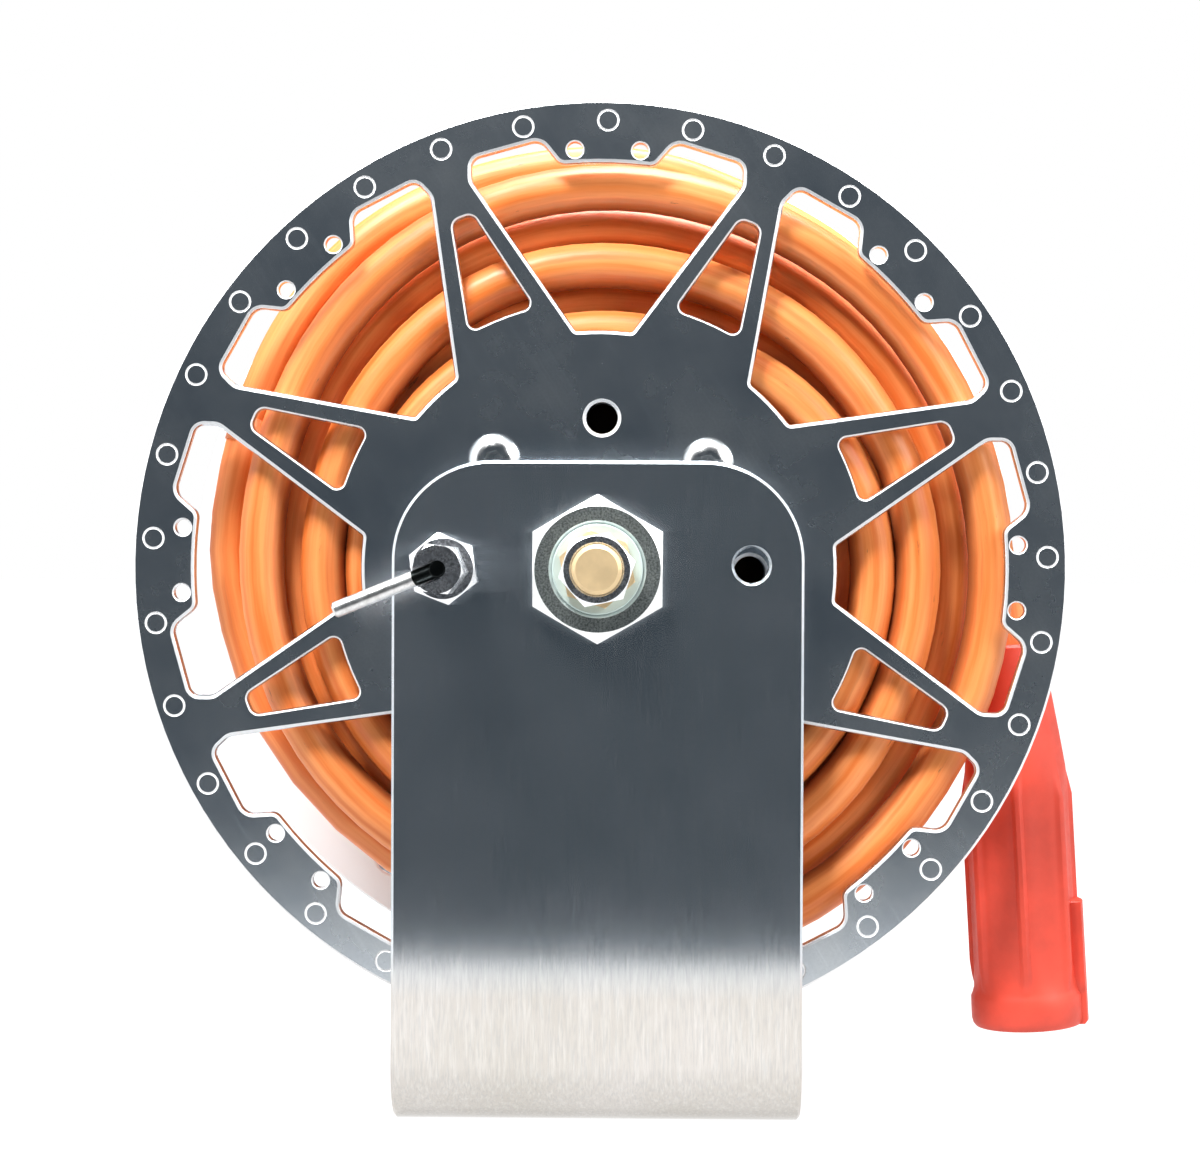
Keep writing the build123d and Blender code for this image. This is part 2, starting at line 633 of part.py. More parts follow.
def connector_socket():
    """Brass female half of the quick connector, recessed in the boot."""
    brass = turned_z([(0, 41), (9.5, 41), (9.5, 60), (12.5, 60), (12.5, 115), (11.7, 116),
                      (7.9, 116), (7.15, 115.2), (7.15, 76), (0, 74)])
    return on_boot_axis(brass)


# ---------------------------------------------------------------- write every node
def main():
    os.makedirs("parts", exist_ok=True)
    for make in (spindle_front, hub_jam_nut_front, insulator_front, stud_jam_nut_front,
                 stud_lock_nut_front, thrust_washer_front):
        save_pair(make.__name__, make())
    for make in (disc_front, hub_plate_front, hub_bush_front, disc_screws_front):
        save_pair(make.__name__, on_reel(make()))
    for make in (stand_bracket, contact_stud, latch_barrel, latch_jam_nut, latch_pin,
                 latch_handle, latch_spring, lead_tail, connector_boot, connector_socket):
        save(make.__name__, make())
    for make in (drum_tube, contact_carrier, contact_hub, carrier_screws, lead_lug, lug_bolt,
                 inner_lead, lead_coil):
        save(make.__name__, on_reel(make()))


main()
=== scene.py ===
import json
import math
import random

import bpy
import numpy as np
from mathutils import Matrix, Vector


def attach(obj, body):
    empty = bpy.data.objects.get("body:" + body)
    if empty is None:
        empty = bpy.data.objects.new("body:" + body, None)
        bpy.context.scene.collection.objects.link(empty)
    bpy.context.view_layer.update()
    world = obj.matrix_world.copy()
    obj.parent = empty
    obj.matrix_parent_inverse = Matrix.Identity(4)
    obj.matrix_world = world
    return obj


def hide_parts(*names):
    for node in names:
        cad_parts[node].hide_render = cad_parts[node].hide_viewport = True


# Looks of the hand-turned welding-lead reel.  Metres; +Z is up, -Y is the front, and the axle
# lies along Y.  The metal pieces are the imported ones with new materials.  The lead and the
# rubber connector are made here.

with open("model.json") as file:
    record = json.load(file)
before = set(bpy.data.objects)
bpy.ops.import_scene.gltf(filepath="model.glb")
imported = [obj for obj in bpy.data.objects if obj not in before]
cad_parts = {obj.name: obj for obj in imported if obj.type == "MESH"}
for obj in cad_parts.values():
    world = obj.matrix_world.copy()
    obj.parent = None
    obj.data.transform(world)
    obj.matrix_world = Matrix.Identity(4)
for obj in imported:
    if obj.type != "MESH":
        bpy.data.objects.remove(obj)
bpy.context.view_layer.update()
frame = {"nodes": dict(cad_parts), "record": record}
NODES = frame["nodes"]

# ---------------------------------------------------------------- places and sizes
MM = 0.001
AXLE = Vector((0, 0, 0.180))
CAMERA_AT = (0.0141, -0.8766, 0.1859)
CAMERA_TURN, CAMERA_DIP, CAMERA_ROLL = 0.96, 0.82, 0.23     # degrees
CABLE = 0.015                       # outside diameter of the lead
CORD_SIDES = 36
RIDGE = 0.00009                     # height of the faint ridges along the lead
COLUMNS = 9                         # turns side by side between the discs
COLUMN_FRONT = -0.0487              # middle of the foremost turns
COLUMN_STEP = -2 * COLUMN_FRONT / (COLUMNS - 1)
TAIL_Y = -0.025                     # plane of the hanging free end
LATCH_OFFSET = 0.04915              # latch axis, to the left of the axle
LATCH_DARK = 0.0083                 # how far from its axis the latch's rod is painted black, as painted shade
DISC_INSIDE = 0.0574                # disc surfaces nearer the middle than this get a painted bright reflection

# ---------------------------------------------------------------- camera
def make_camera():
    """Almost straight-on view from a little to the right, with a 75 mm lens."""
    data = bpy.data.cameras.new("camera")
    data.lens = 75.0
    data.sensor_width = 36.0
    data.clip_start, data.clip_end = 0.05, 30.0
    camera = bpy.data.objects.new("camera", data)
    bpy.context.scene.collection.objects.link(camera)
    turn, dip, roll = (math.radians(a) for a in (CAMERA_TURN, CAMERA_DIP, CAMERA_ROLL))
    facing = (Matrix.Rotation(turn, 4, "Z") @ Matrix.Rotation(math.pi / 2 - dip, 4, "X")
              @ Matrix.Rotation(roll, 4, "Z"))
    camera.matrix_world = Matrix.Translation(CAMERA_AT) @ facing
    bpy.context.scene.camera = camera


# ---------------------------------------------------------------- mesh helpers
def new_mesh(name, vertices, faces, smooth=True):
    mesh = bpy.data.meshes.new(name)
    mesh.from_pydata([tuple(v) for v in vertices], [], faces)
    mesh.update()
    piece = bpy.data.objects.new(name, mesh)
    bpy.context.scene.collection.objects.link(piece)
    for polygon in mesh.polygons:
        polygon.use_smooth = smooth
    return piece


def smooth_line(points, steps):
    """Points along one smooth NURBS curve with these control points."""
    curve = bpy.data.curves.new("route", "CURVE")
    curve.dimensions = "3D"
    spline = curve.splines.new("NURBS")
    spline.points.add(len(points) - 1)
    for knot, p in zip(spline.points, points):
        knot.co = (*p, 1.0)
    spline.order_u = 3
    spline.use_endpoint_u = True
    spline.resolution_u = steps
    carrier = bpy.data.objects.new("route", curve)
    mesh = bpy.data.meshes.new_from_object(carrier)
    line = np.array([v.co for v in mesh.vertices], float)
    bpy.data.meshes.remove(mesh)
    bpy.data.curves.remove(curve)
    return line


def lead_tube(name, line, seed):
    """Round jacket swept along a line, with faint long ridges where the strands press through."""
    draw = random.Random(seed)
    waves = [(k, draw.uniform(0, math.tau), draw.uniform(-9, 9), draw.uniform(0.3, 1.0))
             for k in (2, 3, 5, 7, 9)]
    along = np.concatenate([[0], np.cumsum(np.linalg.norm(np.diff(line, axis=0), axis=1))])
    tangent = np.gradient(line, axis=0)
    tangent /= np.linalg.norm(tangent, axis=1)[:, None]
    side = np.array([0, 1, 0]) - tangent * tangent[:, 1:2]
    side /= np.linalg.norm(side, axis=1)[:, None]
    out = np.cross(tangent, side)
    around = np.arange(CORD_SIDES) * math.tau / CORD_SIDES
    vertices, facts = [], []
    for p, s, o, a in zip(line, side, out, along):
        swell = sum(h * np.sin(k * around + start + drift * a) for k, start, drift, h in waves)
        r = CABLE / 2 - RIDGE + RIDGE * swell
        vertices.extend(p + (np.cos(around) * r)[:, None] * s + (np.sin(around) * r)[:, None] * o)
        facts.extend((math.cos(t), math.sin(t), a) for t in around)
    rings = len(line)
    faces = [(i * CORD_SIDES + j, i * CORD_SIDES + (j + 1) % CORD_SIDES,
              (i + 1) * CORD_SIDES + (j + 1) % CORD_SIDES, (i + 1) * CORD_SIDES + j)
             for i in range(rings - 1) for j in range(CORD_SIDES)]
    faces.append(tuple(range(CORD_SIDES - 1, -1, -1)))
    faces.append(tuple(range((rings - 1) * CORD_SIDES, rings * CORD_SIDES)))
    piece = new_mesh(name, vertices, faces)
    lay = piece.data.attributes.new("lay", "FLOAT_VECTOR", "POINT")
    lay.data.foreach_set("vector", np.array(facts, np.float32).ravel())
    return piece, float(along[-1])


# ---------------------------------------------------------------- wound lead
# Radii of the turns in millimetres, a quarter turn apart: bottom, left, top, right, bottom and
# so on.  Turns in even columns and in odd columns nest in each other.
EVEN_RADII = [79, 76.7, 77.5, 90.3, 91, 91.5, 100.3, 105.1, 108, 112, 126.1, 129.5, 129.3]
ODD_RADII = [70, 70, 74, 82, 83, 84.1, 89, 97.7, 99.5, 101.7, 113.2, 117.4, 119.5, 123.6]
FIRST_RADIUS = 67.5
REAR_COLUMN, REAR_LIMIT = 3, 124.0  # from this column backwards, no turn is larger than this
NO_LIMIT = 999.0
SLACK = 0.35 * MM                   # random unevenness of the turns
TURN_STEPS = 24
CROSSING = 32.0                     # degrees each side of the lowest point where turns change column


def eased(t):
    t = min(1.0, max(0.0, t))
    return t * t * (3 - 2 * t)


def radius_at(table, turn, degrees):
    """Radius of a turn, eased between the quarter points; degrees run from the lowest point."""
    at = 4 * turn + degrees / 90
    k = min(int(at), len(table) - 2)
    return table[k] + (table[k + 1] - table[k]) * eased(at - k)


def winding():
    """(column, radius table, turn) for every full turn, from the drum outwards."""
    even, odd = range(COLUMNS - 1, -1, -2), range(1, COLUMNS, 2)
    order = [(c, [FIRST_RADIUS] * 5, 0) for c in even]
    for layer in range(3):
        order += [(c, ODD_RADII, layer) for c in odd]
        if layer < 2:
            order += [(c, EVEN_RADII, layer) for c in even]
    order += [(c, EVEN_RADII, 2) for c in (8, 6, 4, 0)]
    return order


def coil_route():
    """Control points of the whole winding: each turn changes column near its lowest point."""
    turns = winding()
    draw = random.Random(5)
    route = []

    def place(column, radius, degrees):
        a = math.radians(degrees)
        # The smooth line runs inside its control points, so they lie a little further out.
        r = radius * MM / (0.75 + 0.25 * math.cos(math.tau / TURN_STEPS))
        r += draw.uniform(-SLACK, SLACK)
        y = COLUMN_FRONT + column * COLUMN_STEP + draw.uniform(-SLACK, SLACK)
        route.append((-r * math.sin(a), y, AXLE.z - r * math.cos(a)))

    for n, (column, table, turn) in enumerate(turns):
        before = turns[n - 1] if n else turns[0]
        after = turns[n + 1] if n + 1 < len(turns) else (1, ODD_RADII, 3)
        for k in range(TURN_STEPS):
            degrees = 360 * k / TURN_STEPS
            radius, where = radius_at(table, turn, degrees), column
            limit = REAR_LIMIT if column >= REAR_COLUMN else NO_LIMIT
            if degrees < CROSSING:
                share = eased(0.5 + 0.5 * degrees / CROSSING)
                last = radius_at(before[1], before[2], 359.9) if n else radius
                radius = last + (radius - last) * share
                where = before[0] + (column - before[0]) * share
            if degrees > 360 - CROSSING:
                share = eased(0.5 - 0.5 * (360 - degrees) / CROSSING)
                first = radius_at(after[1], after[2], 0)
                radius = radius + (first - radius) * share
                where = column + (after[0] - column) * share
            place(where, min(radius, limit), degrees)
    return route


# Degrees clockwise from the lowest point, radius in millimetres and column: the start of the
# last turn, which ends behind the upper left spoke.
LAST_TURN = [(0, 119.5, 1), (30, 121, 1), (60, 123, 1), (85, 124.6, 1.02), (100, 126.2, 1.08),
             (113, 127.2, 1.18)]
# The same, for the part of the free end that lies over the top of the coil.
FREE_START = [(109, 126.6, 1.14), (120, 130.0, 1.3), (132, 133.5, 1.5), (145, 136.9, 1.7),
              (160, 137.3, 1.9), (175, 136.8, 1.95), (188, 136.4, 1.95), (200, 133.0, 1.95),
              (211, 132.6, 1.95)]
# (x, z) of the rest of its route, down to the connector.
TAIL_POINTS = [(0.0853, 0.2817), (0.1137, 0.2456), (0.13716, 0.18115), (0.14111, 0.11407)]


def round_coil(rows):
    """Points from (degrees clockwise from the lowest point, radius, column) rows."""
    points = []
    for degrees, radius, column in rows:
        a = math.radians(degrees)
        points.append((-radius * MM * math.sin(a), COLUMN_FRONT + column * COLUMN_STEP,
                       AXLE.z - radius * MM * math.cos(a)))
    return points


BOOT_TOP = Vector((0.1387, TAIL_Y, 0.155))
BOOT_LEAN = math.radians(3.37)      # foot outwards
# (depth below the top, radius) in millimetres of the boot's outside and then of its inside.
BOOT_OUTSIDE = [(0.2, 10.3), (1.2, 11.3), (9, 12.4), (18, 13.6), (30, 15.3), (42, 16.9),
                (47, 17.4), (52, 17.6), (57, 17.6), (62, 17.6), (74, 17.6), (87.6, 17.6),
                (88.2, 17.6), (98, 17.6), (108, 17.6), (113, 17.6), (116.5, 17.7), (118.2, 18.2),
                (119.5, 18.8), (123, 18.9), (126.8, 18.9), (128.4, 18.5), (129.3, 17.8)]
BOOT_INSIDE = [(129.3, 12.7), (100, 12.7), (60.2, 12.7), (60.1, 9.7), (41.2, 9.7), (41.1, 7.8),
               (0.2, 7.8)]
BOOT_SIDES = 180
RIDGES = 7
FIRST_RIDGE = math.radians(98)      # anticlockwise from +X, seen from below
RIDGE_HEIGHT, RIDGE_FLAT, RIDGE_SLOPE = 1.5, 0.7, 1.3
PANEL_HOLLOW = 1.1
RIDGES_START, RIDGES_END = (43, 9), (110, 7)    # depth and how far they take to rise or fade
KEY_HALF_WIDTH = 7.5
KEY_TOP, KEY_LIP = 88, 129
KEY_RADIUS, KEY_LIP_RADIUS = 20.3, 19.6


def boot_radius(depth, radius, angle):
    """Outside of the boot with its long ridges, the hollow panels between them and the key."""
    (rise, rising), (fade, fading) = RIDGES_START, RIDGES_END
    share = eased((depth - rise) / rising) * (1 - eased((depth - fade) / fading))
    at = ((angle - FIRST_RIDGE) * RIDGES / math.tau) % 1.0
    from_ridge = min(at, 1 - at) * math.tau / RIDGES * radius
    ridge = RIDGE_HEIGHT * (1 - eased((from_ridge - RIDGE_FLAT) / RIDGE_SLOPE))
    hollow = PANEL_HOLLOW * math.sin(math.pi * at) ** 2
    outside = radius + share * (ridge - hollow)
    across = math.atan2(math.sin(angle), math.cos(angle)) * radius
    if depth > KEY_TOP and abs(across) < KEY_HALF_WIDTH:
        outside = KEY_RADIUS if depth < KEY_LIP else KEY_LIP_RADIUS
    return outside


def make_boot():
    """Red rubber connector body."""
    down = Vector((math.sin(BOOT_LEAN), 0, -math.cos(BOOT_LEAN)))
    side = Vector((math.cos(BOOT_LEAN), 0, math.sin(BOOT_LEAN)))
    front = Vector((0, -1, 0))
    rows = [(d, r, True) for d, r in BOOT_OUTSIDE] + [(d, r, False) for d, r in BOOT_INSIDE]
    vertices = []
    for depth, radius, outside in rows:
        for k in range(BOOT_SIDES):
            angle = k * math.tau / BOOT_SIDES
            r = boot_radius(depth, radius, angle) if outside else radius
            vertices.append(BOOT_TOP + down * depth * MM
                            + (side * math.cos(angle) + front * math.sin(angle)) * r * MM)
    count = len(rows)
    faces = []
    for i in range(count):
        a, b = i * BOOT_SIDES, (i + 1) % count * BOOT_SIDES
        for k in range(BOOT_SIDES):
            n = (k + 1) % BOOT_SIDES
            faces.append((a + k, a + n, b + n, b + k))
    boot = new_mesh("boot_body", vertices, faces)
    boot.data.set_sharp_from_angle(angle=math.radians(35))
    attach(boot, "stand")
    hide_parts("connector_boot")
    return boot


def make_leads():
    """The winding, which turns with the reel, and the free end, which hangs with the connector."""
    line = smooth_line(coil_route() + round_coil(LAST_TURN), 3)
    coil, long = lead_tube("lead_winding", line, 11)
    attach(coil, "reel")
    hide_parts("lead_coil")

    line = smooth_line(round_coil(FREE_START) + [(x, TAIL_Y, z) for x, z in TAIL_POINTS], 8)
    tail, long = lead_tube("lead_free_end", line, 12)
    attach(tail, "stand")
    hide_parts("lead_tail")
    return [coil, tail]


# ---------------------------------------------------------------- material helpers
class Finish:
    """A node material under construction, with its shader and shorthand for common nodes."""

    def __init__(self, name, colour, roughness, metallic=0.0):
        self.material = bpy.data.materials.new(name)
        self.material.use_nodes = True
        self.tree = self.material.node_tree
        self.shader = self.tree.nodes["Principled BSDF"]
        self.shader.inputs["Base Color"].default_value = (*colour, 1)
        self.shader.inputs["Roughness"].default_value = roughness
        self.shader.inputs["Metallic"].default_value = metallic

    def node(self, kind, **values):
        made = self.tree.nodes.new(kind)
        for key, value in values.items():
            setattr(made, key, value)
        return made

    def link(self, source, target):
        self.tree.links.new(source, target)

    def place(self):
        """Position on the piece, in metres."""
        return self.node("ShaderNodeTexCoord").outputs["Object"]

    def stretched(self, vector, x, y, z):
        """The vector with each axis scaled."""
        made = self.node("ShaderNodeMapping")
        made.inputs["Scale"].default_value = (x, y, z)
        self.link(vector, made.inputs["Vector"])
        return made.outputs["Vector"]

    def turned(self, vector, degrees):
        """The vector turned about the Y axis."""
        made = self.node("ShaderNodeMapping")
        made.inputs["Rotation"].default_value = (0, math.radians(degrees), 0)
        self.link(vector, made.inputs["Vector"])
        return made.outputs["Vector"]

    def facing(self):
        """How squarely the surface looks along Y: 1 on flat faces, 0.7 on bevels, 0 on walls."""
        split = self.node("ShaderNodeSeparateXYZ")
        self.link(self.node("ShaderNodeTexCoord").outputs["Normal"], split.inputs[0])
        return self.math("ABSOLUTE", split.outputs["Y"])

    def bevels(self):
        """1 on bevels and engraved rings, 0 on flat faces and walls."""
        return self.ramp(self.facing(), (0.40, 0.0), (0.50, 1.0), (0.90, 1.0), (0.96, 0.0))

    def nearer_than(self, distance):
        """1 within this distance of the middle plane, 0 beyond it."""
        split = self.node("ShaderNodeSeparateXYZ")
        self.link(self.place(), split.inputs[0])
        return self.math("LESS_THAN", self.math("ABSOLUTE", split.outputs["Y"]), distance)

    def noise(self, vector, scale, detail=4.0, rough=0.55):
        made = self.node("ShaderNodeTexNoise")
        made.inputs["Scale"].default_value = scale
        made.inputs["Detail"].default_value = detail
        made.inputs["Roughness"].default_value = rough
        self.link(vector, made.inputs["Vector"])
        return made.outputs["Fac"]

    def ramp(self, value, *stops):
        """Colours, or grey levels, at positions from 0 to 1."""
        made = self.node("ShaderNodeValToRGB")
        elements = made.color_ramp.elements
        while len(elements) < len(stops):
            elements.new(0.5)
        for element, (at, colour) in zip(elements, stops):
            element.position = at
            grey = isinstance(colour, (int, float))
            element.color = (colour, colour, colour, 1) if grey else (*colour, 1)
        self.link(value, made.inputs["Fac"])
        return made.outputs["Color"]

    def math(self, kind, a, b=None):
        made = self.node("ShaderNodeMath", operation=kind)
        for socket, value in zip(made.inputs, (a, b)):
            if value is None:
                continue
            if isinstance(value, (int, float)):
                socket.default_value = value
            else:
                self.link(value, socket)
        return made.outputs[0]

    def mixed(self, share, a, b):
        """Colour a turning into colour b."""
        made = self.node("ShaderNodeMix", data_type="RGBA")
        for socket, value in ((made.inputs[0], share), (made.inputs[6], a), (made.inputs[7], b)):
            if isinstance(value, (int, float)):
                socket.default_value = value
            elif isinstance(value, tuple):
                socket.default_value = (*value, 1)
            else:
                self.link(value, socket)
        return made.outputs[2]

    def bump(self, *layers):
        """Bump from (height, distance in metres) layers."""
        normal = None
        for height, distance in layers:
            made = self.node("ShaderNodeBump")
            made.inputs["Strength"].default_value = 1.0
            made.inputs["Distance"].default_value = distance
            self.link(height, made.inputs["Height"])
            if normal:
                self.link(normal, made.inputs["Normal"])
            normal = made.outputs["Normal"]
        self.link(normal, self.shader.inputs["Normal"])

    def colour(self, socket):
        self.link(socket, self.shader.inputs["Base Color"])

    def rough(self, value, low, high):
        self.link(self.ramp(value, (0.25, low), (0.75, high)), self.shader.inputs["Roughness"])


# ---------------------------------------------------------------- materials
def lead_jacket():
    """Orange rubber jacket with long streaks and rubbed dark marks.  The side of each turn that
    faces the axle is painted dark, in place of the deep shade between the turns."""
    f = Finish("lead_jacket", (0.83, 0.24, 0.04), 0.40)
    lay = f.node("ShaderNodeAttribute", attribute_name="lay").outputs["Vector"]
    streaks = f.noise(f.stretched(lay, 1.7, 1.7, 9), 1.2, 4.0, 0.55)
    creases = f.noise(f.stretched(lay, 3.0, 3.0, 16), 1.8, 4.0, 0.6)
    fine = f.noise(f.stretched(lay, 14, 14, 60), 2.0, 3.0, 0.6)
    scuffs = f.noise(f.stretched(lay, 2.2, 2.2, 55), 1.1, 6.0, 0.7)
    base = f.mixed(f.ramp(streaks, (0.36, 0.0), (0.64, 1.0)),
                   (0.80, 0.19, 0.034), (0.97, 0.34, 0.10))
    base = f.mixed(f.ramp(creases, (0.60, 0.0), (0.78, 0.35)), base, (0.50, 0.095, 0.02))
    base = f.mixed(f.ramp(scuffs, (0.66, 0.0), (0.74, 0.8)), base, (0.10, 0.035, 0.02))
    split = f.node("ShaderNodeSeparateXYZ")
    f.link(lay, split.inputs[0])
    inner_side = f.math("MULTIPLY", split.outputs["Y"], -1.0)
    base = f.mixed(f.ramp(inner_side, (0.55, 0.0), (0.97, 0.85)), base, (0.16, 0.035, 0.012))
    f.colour(base)
    f.rough(creases, 0.34, 0.50)
    f.bump((streaks, 0.00020), (fine, 0.00003))
    return f


def disc_plate():
    """Blue-grey sanded plate.  Its bevels carry a painted highlight and the faces turned inwards a
    painted bright reflection.
    """
    f = Finish("disc_plate", (0.60, 0.66, 0.70), 0.27, metallic=1.0)
    at = f.place()
    grain = f.noise(at, 1100.0, 3.0, 0.6)
    brushed = f.noise(f.stretched(f.turned(at, 32), 700, 700, 25), 1.0, 3.0, 0.6)
    clouds = f.noise(at, 24.0, 5.0, 0.6)
    face = f.mixed(f.ramp(clouds, (0.35, 0.0), (0.65, 1.0)), (0.55, 0.61, 0.67), (0.66, 0.70, 0.73))
    face = f.mixed(f.ramp(brushed, (0.54, 0.0), (0.74, 0.25)), face, (0.86, 0.92, 0.97))
    face = f.mixed(f.ramp(grain, (0.3, 0.16), (0.7, 0.0)), face, (0.30, 0.33, 0.36))
    # Painted highlight and reflection: bevels, engraved rings and the inward faces are coloured near
    # white and made less metallic.
    bright = f.math("MAXIMUM", f.bevels(), f.nearer_than(DISC_INSIDE))
    f.colour(f.mixed(bright, face, (0.90, 0.91, 0.92)))
    f.link(f.ramp(bright, (0.0, 1.0), (1.0, 0.25)), f.shader.inputs["Metallic"])
    spread = f.ramp(clouds, (0.3, 0.25), (0.7, 0.29))
    f.link(f.mixed(bright, spread, (0.55, 0.55, 0.55)), f.shader.inputs["Roughness"])
    f.bump((grain, 0.000003))
    return f


def stand_plate():
    """Plate sanded along its length, up one side and down the other.  Its foot is tinted warm by
    height alone, in place of a reflection."""
    f = Finish("stand_plate", (0.62, 0.65, 0.68), 0.24, metallic=0.97)
    at = f.place()
    flecks = f.noise(f.stretched(at, 1100, 1100, 70), 1.0, 4.0, 0.7)
    fine = f.noise(f.stretched(at, 1900, 1900, 160), 1.0, 2.0, 0.5)
    clouds = f.noise(at, 25.0, 5.0, 0.6)
    height = f.node("ShaderNodeSeparateXYZ")
    f.link(at, height.inputs[0])
    foot = f.ramp(f.math("MULTIPLY", height.outputs["Z"], 10.0), (0.42, 1.0), (0.60, 0.0))
    face = f.mixed(f.ramp(clouds, (0.35, 0.0), (0.65, 1.0)), (0.58, 0.64, 0.69), (0.66, 0.71, 0.76))
    # Painted reflection of the floor: the foot is tinted warm by height alone.
    painted_floor_reflection = f.mixed(f.ramp(clouds, (0.35, 0.0), (0.65, 1.0)), (0.56, 0.53, 0.49), (0.61, 0.58, 0.55))
    face = f.mixed(foot, face, painted_floor_reflection)
    face = f.mixed(f.ramp(flecks, (0.46, 0.0), (0.74, 0.3)), face, (0.90, 0.90, 0.89))
    face = f.mixed(f.ramp(fine, (0.34, 0.2), (0.52, 0.0)), face, (0.34, 0.36, 0.38))
    f.colour(face)
    f.rough(clouds, 0.19, 0.205)
    f.shader.inputs["Anisotropic"].default_value = 1.0
    across = f.node("ShaderNodeCombineXYZ")
    across.inputs[0].default_value = 1.0
    f.link(across.outputs[0], f.shader.inputs["Tangent"])
    f.bump((flecks, 0.000002))
    return f


def zinc_metal(name, face_colour, edge_colour, roughness, metallic):
    """Plated steel, coloured by direction: the mottled ends are painted dark and the bevels and flanks
    painted bright, as painted reflections.
    """
    f = Finish(name, edge_colour, roughness, metallic=metallic)
    at = f.place()
    mottle = f.noise(at, 1500.0, 4.0, 0.65)
    marks = f.noise(at, 260.0, 4.0, 0.6)
    # Painted shade and highlight: surfaces facing along Y take the dark face colour, all others take
    # the bright edge colour.
    flat = f.ramp(f.facing(), (0.93, 0.0), (0.97, 1.0))
    face = f.mixed(f.ramp(mottle, (0.38, 0.0), (0.62, 1.0)),
                   tuple(0.55 * c for c in face_colour), tuple(min(1.0, 1.5 * c) for c in face_colour))
    edge = f.mixed(f.ramp(marks, (0.35, 0.0), (0.65, 1.0)),
                   tuple(0.84 * c for c in edge_colour), edge_colour)
    f.colour(f.mixed(flat, edge, face))
    f.rough(marks, roughness - 0.06, roughness + 0.08)
    f.bump((mottle, 0.000014))
    return f


def latch_steel():
    """Bright rod, painted black close to the latch axis as painted shade, where it is inside the
    barrel's head.
    """
    f = Finish("latch_steel", (0.70, 0.70, 0.71), 0.34, metallic=1.0)
    at = f.place()
    marks = f.noise(at, 500.0, 4.0, 0.6)
    split = f.node("ShaderNodeSeparateXYZ")
    f.link(at, split.inputs[0])
    across = f.math("ADD", split.outputs["X"], LATCH_OFFSET)
    up = f.math("SUBTRACT", split.outputs["Z"], AXLE.z)
    reach = f.math("SQRT", f.math("ADD", f.math("MULTIPLY", across, across),
                                  f.math("MULTIPLY", up, up)))
    # Painted shade: the rod is black within LATCH_DARK of the latch axis, inside the barrel's head.
    inside = f.math("LESS_THAN", reach, LATCH_DARK)
    bright = f.mixed(f.ramp(marks, (0.35, 0.0), (0.65, 1.0)), (0.58, 0.57, 0.56), (0.80, 0.80, 0.80))
    f.colour(f.mixed(inside, bright, (0.012, 0.014, 0.014)))
    f.rough(marks, 0.28, 0.42)
    f.bump((marks, 0.000012))
    return f


def plain_metal(name, colour, roughness, metallic=1.0):
    """Turned or plated metal with faint handling marks."""
    f = Finish(name, colour, roughness, metallic=metallic)
    at = f.place()
    marks = f.noise(at, 400.0, 5.0, 0.6)
    clouds = f.noise(at, 90.0, 4.0)
    f.colour(f.mixed(f.ramp(clouds, (0.35, 0.0), (0.65, 1.0)),
                     tuple(0.86 * c for c in colour), tuple(min(1.0, 1.06 * c) for c in colour)))
    f.rough(marks, roughness - 0.06, roughness + 0.08)
    f.bump((marks, 0.000012))
    return f


def plain_solid(name, colour, roughness):
    """Moulded plastic, board or rubber with a fine surface grain."""
    f = Finish(name, colour, roughness)
    at = f.place()
    grains = f.noise(at, 500.0, 3.0)
    clouds = f.noise(at, 60.0, 4.0)
    f.colour(f.mixed(f.ramp(clouds, (0.3, 0.0), (0.7, 1.0)),
                     tuple(0.84 * c for c in colour), tuple(min(1.0, 1.1 * c) for c in colour)))
    f.rough(grains, roughness - 0.05, roughness + 0.08)
    f.bump((grains, 0.00003))
    return f


def finishes():
    """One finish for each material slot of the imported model, and some for single nodes."""
    return {
        "disc_plate": disc_plate(),
        "stand_plate": stand_plate(),
        "hub_plate": plain_metal("hub_plate", (0.62, 0.63, 0.64), 0.34),
        "zinc_steel": zinc_metal("zinc_steel", (0.36, 0.37, 0.39), (0.90, 0.92, 0.95), 0.26, 0.92),
        "hub_nut_steel": zinc_metal("hub_nut_steel", (0.30, 0.33, 0.32), (0.93, 0.95, 0.95), 0.34,
                                    0.85),
        "latch_steel": latch_steel(),
        "screw_steel": plain_metal("screw_steel", (0.80, 0.80, 0.80), 0.20),
        "spring_steel": plain_metal("spring_steel", (0.45, 0.45, 0.46), 0.30),
        "brass": plain_metal("brass", (0.86, 0.64, 0.36), 0.38, metallic=0.45),
        "bronze": plain_metal("bronze", (0.62, 0.43, 0.24), 0.38),
        "copper": plain_metal("copper", (0.75, 0.42, 0.27), 0.34),
        "nylon": plain_solid("nylon", (0.56, 0.68, 0.65), 0.42),
        "insulating_board": plain_solid("insulating_board", (0.25, 0.12, 0.05), 0.55),
        "lead_jacket": lead_jacket(),
        "connector_rubber": plain_solid("connector_rubber", (0.74, 0.068, 0.036), 0.50),
    }


OWN_FINISH = {"hub_jam_nut_front": "hub_nut_steel", "hub_jam_nut_rear": "hub_nut_steel",
              "disc_screws_front": "screw_steel", "disc_screws_rear": "screw_steel",
              "latch_pin": "latch_steel", "latch_handle": "latch_steel"}


def dress(made, boot, leads):
    """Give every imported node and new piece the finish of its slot, or its own."""
    slots = {row["node"]: row["material_slot"] for row in frame["record"]["subparts"]}
    for name, node in NODES.items():
        material = made[OWN_FINISH.get(name, slots[name])].material
        if not node.material_slots:
            node.data.materials.append(material)
        for place in node.material_slots:
            place.material = material
    for piece in leads:
        piece.data.materials.append(made["lead_jacket"].material)
    boot.data.materials.append(made["connector_rubber"].material)


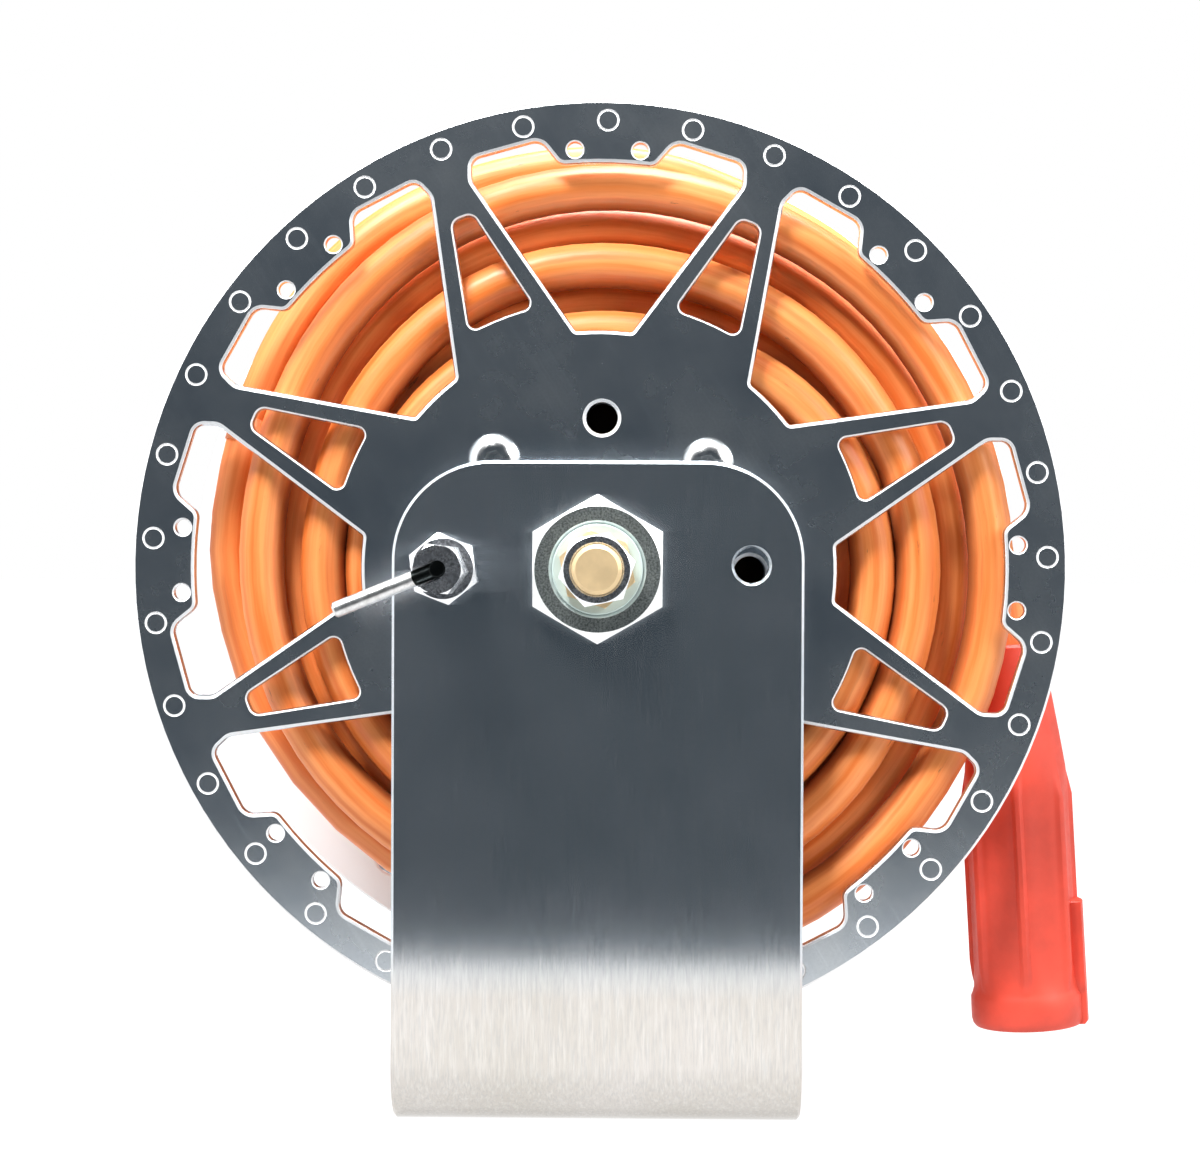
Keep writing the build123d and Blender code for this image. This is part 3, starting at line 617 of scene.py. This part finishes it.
# ---------------------------------------------------------------- stage and light
ROOM_BRIGHT, ROOM_DARK = (2.1, 2.1, 2.1, 1), (0.042, 0.055, 0.068, 1)
ROOM_SOFT, ROOM_SEEN = (0.09, 0.09, 0.09, 1), (1.0, 1.0, 1.0, 1)
FLOOR_COLOUR, FLOOR_GLOW = (0.12, 0.12, 0.12), 0.95
LAMPS = [("key", (-0.45, -0.75, 1.40), 0.4, 34), ("fill", (0.9, -0.7, 0.7), 0.5, 8),
         ("top", (0.1, 0.1, 1.5), 0.8, 42)]     # name, place, side in metres, watts


def make_world():
    """White to the camera and dim to matt surfaces.  Shiny surfaces see it bright at the sides and
    above, and nearly black straight ahead of and behind the reel."""
    world = bpy.data.worlds.new("studio")
    bpy.context.scene.world = world
    world.use_nodes = True
    tree = world.node_tree
    tree.nodes.clear()
    node, link = tree.nodes.new, tree.links.new
    direction = node("ShaderNodeTexCoord").outputs["Generated"]
    split = node("ShaderNodeSeparateXYZ")
    link(direction, split.inputs[0])
    ahead = node("ShaderNodeMath")
    ahead.operation = "ABSOLUTE"
    link(split.outputs["Y"], ahead.inputs[0])
    ramp = node("ShaderNodeValToRGB")
    link(ahead.outputs[0], ramp.inputs["Fac"])
    ramp.color_ramp.elements[0].position = 0.42
    ramp.color_ramp.elements[0].color = ROOM_BRIGHT
    ramp.color_ramp.elements[1].position = 0.66
    ramp.color_ramp.elements[1].color = ROOM_DARK
    path = node("ShaderNodeLightPath")
    soft = node("ShaderNodeMix")
    soft.data_type = "RGBA"
    link(path.outputs["Is Glossy Ray"], soft.inputs[0])
    soft.inputs[6].default_value = ROOM_SOFT
    link(ramp.outputs["Color"], soft.inputs[7])
    seen = node("ShaderNodeMix")
    seen.data_type = "RGBA"
    link(path.outputs["Is Camera Ray"], seen.inputs[0])
    link(soft.outputs[2], seen.inputs[6])
    seen.inputs[7].default_value = ROOM_SEEN
    background = node("ShaderNodeBackground")
    link(seen.outputs[2], background.inputs["Color"])
    output = node("ShaderNodeOutputWorld")
    link(background.outputs[0], output.inputs["Surface"])


def make_lamp(name, place, side, power):
    """Square lamp aimed at the axle."""
    data = bpy.data.lights.new(name, "AREA")
    data.shape = "RECTANGLE"
    data.size, data.size_y, data.energy = side, side, power
    lamp = bpy.data.objects.new(name, data)
    lamp.location = place
    lamp.rotation_euler = (AXLE - Vector(place)).to_track_quat("-Z", "Y").to_euler()
    bpy.context.scene.collection.objects.link(lamp)


def make_stage():
    """Pale floor, lit mostly by its own glow, that ends a little in front of the reel."""
    side, front, back = 8.0, -0.40, 14.0
    floor = new_mesh("floor", [(-side, front, 0), (side, front, 0), (side, back, 0),
                               (-side, back, 0)], [(0, 1, 2, 3)], smooth=False)
    f = Finish("floor", FLOOR_COLOUR, 0.9)
    f.shader.inputs["Emission Color"].default_value = (1, 1, 1, 1)
    f.shader.inputs["Emission Strength"].default_value = FLOOR_GLOW
    floor.data.materials.append(f.material)
    for lamp in LAMPS:
        make_lamp(*lamp)
    bpy.context.scene.view_settings.view_transform = "Standard"


make_camera()
boot_body = make_boot()
new_leads = make_leads()
dress(finishes(), boot_body, new_leads)
make_world()
make_stage()
